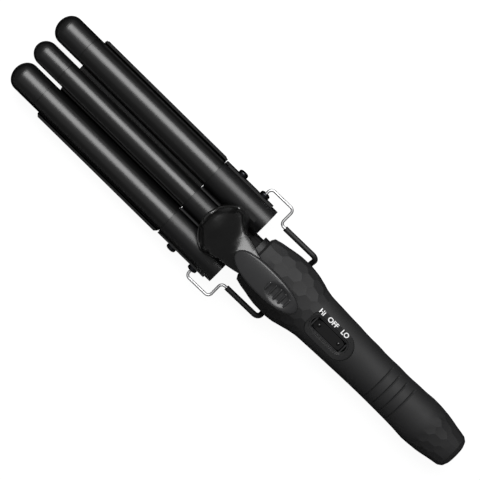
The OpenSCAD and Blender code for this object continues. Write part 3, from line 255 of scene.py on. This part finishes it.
# Satin ABS of the thumb pad, a shade lighter than the rest
pad_abs = plastic("satin_abs", "#262627", "#2c2c2d", roughness=0.32, spread=0.03,
                  grain_mm=0.5, bump_mm=0.006)
# Soft-touch paint over moulded ABS: matte and even, with broad dim highlights
soft_touch = plastic("soft_touch_paint", "#141415", "#181819", roughness=0.66, spread=0.03,
                     grain_mm=0.35, bump_mm=0.010)
# Satin ABS of the switch's bezel, whose rim shows as a thin line of light
bezel_abs = plastic("satin_bezel_abs", "#0f0f10", "#121213", roughness=0.42, spread=0.03,
                    grain_mm=0.6, bump_mm=0.002)
# Gloss ABS of the rocker: black, with small sharp highlights
rocker_abs = plastic("gloss_abs", "#060607", "#080809", roughness=0.14, spread=0.02,
                     grain_mm=2.0, bump_mm=0.002)
# Silicone rubber of the sleeve and the gland: dull, and not quite evenly dark
rubber = plastic("silicone_rubber", "#0d0d0e", "#141415", roughness=0.55, spread=0.05,
                 grain_mm=0.3, bump_mm=0.012)
# Bright nickel-chrome on drawn spring wire: nearly white, with a soft streak of light along it
chrome = metal("bright_chrome", "#f4f4f5", roughness=0.44, spread=0.02,
               wear_mm=4.0, stretch=(0.2, 1, 1))
# Zinc plate on the screws and the jaw's spring: grey and unevenly bright
zinc = metal("zinc_plate", "#a4a6aa", roughness=0.34, spread=0.07, wear_mm=1.0)
# Black-oxide steel of the round heads, oiled: nearly black, with a metal's glint
black_steel = metal("black_oxide_steel", "#2c2d30", roughness=0.3, spread=0.05, wear_mm=1.0)
# Bare extruded aluminium of the heaters: pale grey, with drawn lines along them
aluminium = metal("extruded_aluminium", "#c6c8cb", roughness=0.36, spread=0.08,
                  wear_mm=2.0, stretch=(0.1, 1, 1))
# Glass-epoxy laminate of the circuit board: green and faintly mottled
laminate = plastic("glass_epoxy_laminate", "#24562f", "#2d6b3c", roughness=0.4, spread=0.04,
                   grain_mm=0.8, bump_mm=0.010)
# Glass-fibre sleeving on the leads, black where it shows in the neck
sleeving = plastic("glass_fibre_sleeving", "#0f0f10", "#1a1a1b", roughness=0.7, spread=0.05,
                   grain_mm=0.6, bump_mm=0.030)
# Pad-printed ink of the switch's marks: plain white
ink = plastic("white_print_ink", "#ffffff", "#f4f4f4", roughness=0.5, spread=0.03,
              grain_mm=0.3, bump_mm=0.002)
# Glass-filled nylon of the switch's body: dark and dull
switch_nylon = plastic("glass_filled_nylon", "#141416", "#1b1b1d", roughness=0.45, spread=0.04,
                       grain_mm=0.4, bump_mm=0.008)

dress(ceramic, "left_barrel", "right_barrel", "middle_barrel")
dress(plate_coat, "wave_plate")
dress(nylon, "left_tip", "right_tip", "middle_tip")
dress(grained, "left_collar", "right_collar", "middle_collar")
dress(dull_nylon, "plate_cover", "cradle")
dress(rocker_abs, "rocker")
dress(switch_nylon, "switch_body")
dress(rubber, "stand_sleeve", "cord_gland")
dress(zinc, "cover_screws", "handle_screws", "jaw_spring")
dress(black_steel, "hinge_pins", "stand_ferrules")
dress(aluminium, "left_heater", "right_heater", "middle_heater", "plate_heaters")
dress(laminate, "circuit_board")

SHELL_ANGLE = 12     # keeps the hammered flats flat and the grip round
# The softened part of the lever's deck lies between these corners, in millimetres
DECK_LOW, DECK_HIGH = (-24, -16, 24), (-9, 16, 60)
DECK_ROUNDS = 40

lever_skin = smooth_copy("lever", "jaw", lever_abs, angle=60)
soften(lever_skin, DECK_LOW, DECK_HIGH, DECK_ROUNDS)
smooth_copy("thumb_pad", "jaw", pad_abs, angle=30, rim_mm=0.8)
smooth_copy("switch_bezel", "base", bezel_abs, angle=40, rim_mm=0.2, reshape=round_slot)
smooth_copy("handle_top", "base", soft_touch, angle=SHELL_ANGLE)
smooth_copy("handle_bottom", "base", soft_touch, angle=SHELL_ANGLE)
smooth_copy("stand_wire", "stand", chrome, angle=50)
smooth_copy("heater_leads", "base", sleeving, angle=60)
smooth_copy("jaw_leads", "jaw", sleeving, angle=60)
smooth_copy("mains_leads", "base", sleeving, angle=60)


# ---------- Switch marks ----------

MARK_Y = 8.0 * MM
MARK_HEIGHT = 3.4 * MM      # of a capital
CAPITAL_OF_SIZE = 0.72      # a capital's height as a part of the font's size
PRINT_DEPTH = 0.04 * MM
INK_SPREAD = 0.12 * MM      # how far the ink runs past the edge of a letter
MARK_WELD = 0.0001 * MM
MARK_CUTS = 2               # so that a letter can bend with the surface
# Each word, its middle along the tool and its length, in millimetres
WORDS = (("HI", 63.3, 4.0), ("OFF", 73.0, 8.4), ("LO", 83.8, 5.6))
PROBE_START = 100 * MM      # above everything
PROBE_MARGIN = 0.001 * MM
PROBES_ASIDE = (-0.7, -0.3, 0, 0.3, 0.7)    # in millimetres along the tool


def surface_tree(name):
    """A node's surface, ready to be probed."""
    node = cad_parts[name]
    return BVHTree.FromPolygons([node.matrix_world @ v.co for v in node.data.vertices],
                                [tuple(face.vertices) for face in node.data.polygons],
                                epsilon=PROBE_MARGIN)


BEZEL_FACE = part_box("switch_bezel")[1][2]
PRINTED_ON = [surface_tree("handle_top"), surface_tree("switch_bezel")]


def ground_height(x, y):
    """Greatest height of the handle and the bezel near a point, so that neither hides the ink."""
    hits = [tree.ray_cast(Vector((x + aside * MM, y, PROBE_START)), Vector((0, 0, -1)))[0]
            for tree in PRINTED_ON for aside in PROBES_ASIDE]
    return max((hit.z for hit in hits if hit), default=BEZEL_FACE)


def printed_mark(text, x, y, width):
    """A printed word beside the slot, read along the tool and laid on the surface below it."""
    start_clean()
    bpy.ops.object.text_add(location=(0, 0, 0))
    mark = bpy.context.object
    mark.data.body = text
    mark.data.align_x = "CENTER"
    mark.data.align_y = "CENTER"
    mark.data.size = MARK_HEIGHT / CAPITAL_OF_SIZE
    mark.data.extrude = PRINT_DEPTH
    mark.data.offset = INK_SPREAD
    bpy.ops.object.convert(target="MESH")
    mark = bpy.context.object
    bpy.ops.object.mode_set(mode="EDIT")
    bpy.ops.mesh.select_all(action="SELECT")
    bpy.ops.mesh.remove_doubles(threshold=MARK_WELD)
    bpy.ops.mesh.quads_convert_to_tris()
    bpy.ops.mesh.subdivide(number_cuts=MARK_CUTS)
    bpy.ops.object.mode_set(mode="OBJECT")
    mark.name = "print_" + text.lower()
    low = min(v.co.x for v in mark.data.vertices)
    high = max(v.co.x for v in mark.data.vertices)
    mark.data.transform(Matrix.Diagonal((width / (high - low), 1, 1, 1)))
    mark.data.transform(Matrix.Translation((x, y, 0)))
    for vertex in mark.data.vertices:
        vertex.co.z += ground_height(vertex.co.x, vertex.co.y)
    mark.data.materials.append(ink)
    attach(mark, "base")


for word, x_mm, width_mm in WORDS:
    printed_mark(word, x_mm * MM, MARK_Y, width_mm * MM)


# ---------- Camera, light and stage ----------

IMAGE_SIZE = 480
CAMERA_AIM = Vector((-7.77 * MM, 1.59 * MM, 19 * MM))
CAMERA_DISTANCE = 1.4
CAMERA_ROLL = math.radians(10.0)       # the view is tilted towards +Y by this
CAMERA_PITCH = math.radians(1.06)      # and towards the tips by this
METRES_PER_PIXEL = 0.6565 * MM         # at the height of the outer barrels' axes
TOOL_ANGLE = math.radians(-44.52)      # of +X on the screen
FLOOR_SIZE = 16
FLOOR_DROP = 0.2 * MM                  # below the tool's rest face
PAPER_GLOW = 0.94                      # what the paper shows of itself, where 1 is white
FLAG_WIDTH = 1.3                       # across the tool
FLAG_STRETCH = 1.7                     # its length is this many widths
FLAG_PLACE = (-450 * MM, 0, -0.1 * MM)     # its middle, between the tool and the paper
ROOM_LIGHT = 0.12                      # from all round, where 1 would be full light by itself


def add_camera():
    """A camera above the tool, turned so that the tool lies along the frame's diagonal."""
    back = Vector((-math.sin(CAMERA_PITCH) * math.cos(CAMERA_ROLL), math.sin(CAMERA_ROLL),
                   math.cos(CAMERA_PITCH) * math.cos(CAMERA_ROLL))).normalized()
    along = Vector((1, 0, 0))
    along = (along - back * along.dot(back)).normalized()
    across = back.cross(along)
    right = along * math.cos(TOOL_ANGLE) - across * math.sin(TOOL_ANGLE)
    up = back.cross(right)
    data = bpy.data.cameras.new("camera")
    data.angle = 2 * math.atan(IMAGE_SIZE * METRES_PER_PIXEL / 2 / CAMERA_DISTANCE)
    camera = bpy.data.objects.new("camera", data)
    bpy.context.collection.objects.link(camera)
    turn = Matrix((right, up, back)).transposed().to_4x4()
    camera.matrix_world = Matrix.Translation(CAMERA_AIM + back * CAMERA_DISTANCE) @ turn
    bpy.context.scene.camera = camera


def add_softbox(name, tilt, along, distance, size, radiance):
    """An area lamp facing the tool: tilted from straight up towards +Y, and moved along X."""
    data = bpy.data.lights.new(name, "AREA")
    data.shape = "RECTANGLE"
    data.size, data.size_y = size
    data.energy = radiance * math.pi * size[0] * size[1]
    lamp = bpy.data.objects.new(name, data)
    bpy.context.collection.objects.link(lamp)
    lean = math.radians(tilt)
    back = Vector((0, math.sin(lean), math.cos(lean)))
    side = Vector((1, 0, 0))
    turn = Matrix((side, back.cross(side), back)).transposed().to_4x4()
    place = CAMERA_AIM + back * distance + side * along
    lamp.matrix_world = Matrix.Translation(place) @ turn


def paper_floor():
    """White paper: bright to the camera and in reflections, and it keeps the tool's shadow."""
    start_clean()
    bpy.ops.mesh.primitive_plane_add(size=FLOOR_SIZE, location=(0, 0, -FLOOR_DROP))
    floor = bpy.context.object
    floor.name = "paper_floor"
    material, tree = new_material("white_paper")
    rays = add_node(tree, "ShaderNodeLightPath")
    shiny = add_node(tree, "ShaderNodeMath", {"operation": "MAXIMUM"},
                     links={0: rays.outputs["Is Glossy Ray"],
                            1: rays.outputs["Is Transmission Ray"]})
    seen = add_node(tree, "ShaderNodeMath", {"operation": "MAXIMUM"},
                    links={0: rays.outputs["Is Camera Ray"], 1: shiny.outputs[0]})
    card = add_node(tree, "ShaderNodeBsdfDiffuse", values={"Color": linear("#e7e7e7")})
    tone = add_node(tree, "ShaderNodeBsdfDiffuse", values={"Color": linear("#646464")})
    white = add_node(tree, "ShaderNodeEmission",
                     values={"Color": (1, 1, 1, 1), "Strength": PAPER_GLOW})
    bright = add_node(tree, "ShaderNodeAddShader", links={0: tone.outputs[0], 1: white.outputs[0]})
    both = add_node(tree, "ShaderNodeMixShader",
                    links={0: seen.outputs[0], 1: card.outputs[0], 2: bright.outputs[0]})
    add_node(tree, "ShaderNodeOutputMaterial", links={"Surface": both.outputs[0]})
    floor.data.materials.append(material)


def black_flag():
    """Black velvet under and around the tool: only reflections see it, so the blacks stay deep."""
    start_clean()
    bpy.ops.mesh.primitive_plane_add(size=FLAG_WIDTH, location=(0, 0, 0))
    flag = bpy.context.object
    flag.name = "black_flag"
    material, tree = new_material("black_velvet")
    velvet = add_node(tree, "ShaderNodeBsdfDiffuse", values={"Color": linear("#060606")})
    add_node(tree, "ShaderNodeOutputMaterial", links={"Surface": velvet.outputs[0]})
    flag.data.materials.append(material)
    flag.data.transform(Matrix.Diagonal((FLAG_STRETCH, 1, 1, 1)))
    flag.location = FLAG_PLACE
    flag.visible_camera = False
    flag.visible_diffuse = False
    flag.visible_shadow = False
    flag.visible_transmission = False


def studio_world():
    """A dim, even room."""
    world = bpy.data.worlds.new("studio")
    bpy.context.scene.world = world
    world.use_nodes = True
    tree = world.node_tree
    tree.nodes.clear()
    room = add_node(tree, "ShaderNodeBackground",
                    values={"Color": (1, 1, 1, 1), "Strength": ROOM_LIGHT})
    add_node(tree, "ShaderNodeOutputWorld", links={"Surface": room.outputs[0]})


add_camera()
add_softbox("main_softbox", tilt=35, along=-0.34, distance=1.4, size=(1.2, 0.98), radiance=7.0)
add_softbox("wide_fill", tilt=-18, along=-0.2, distance=1.6, size=(2.0, 1.3), radiance=0.22)
paper_floor()
black_flag()
studio_world()
bpy.context.scene.view_settings.view_transform = "Standard"
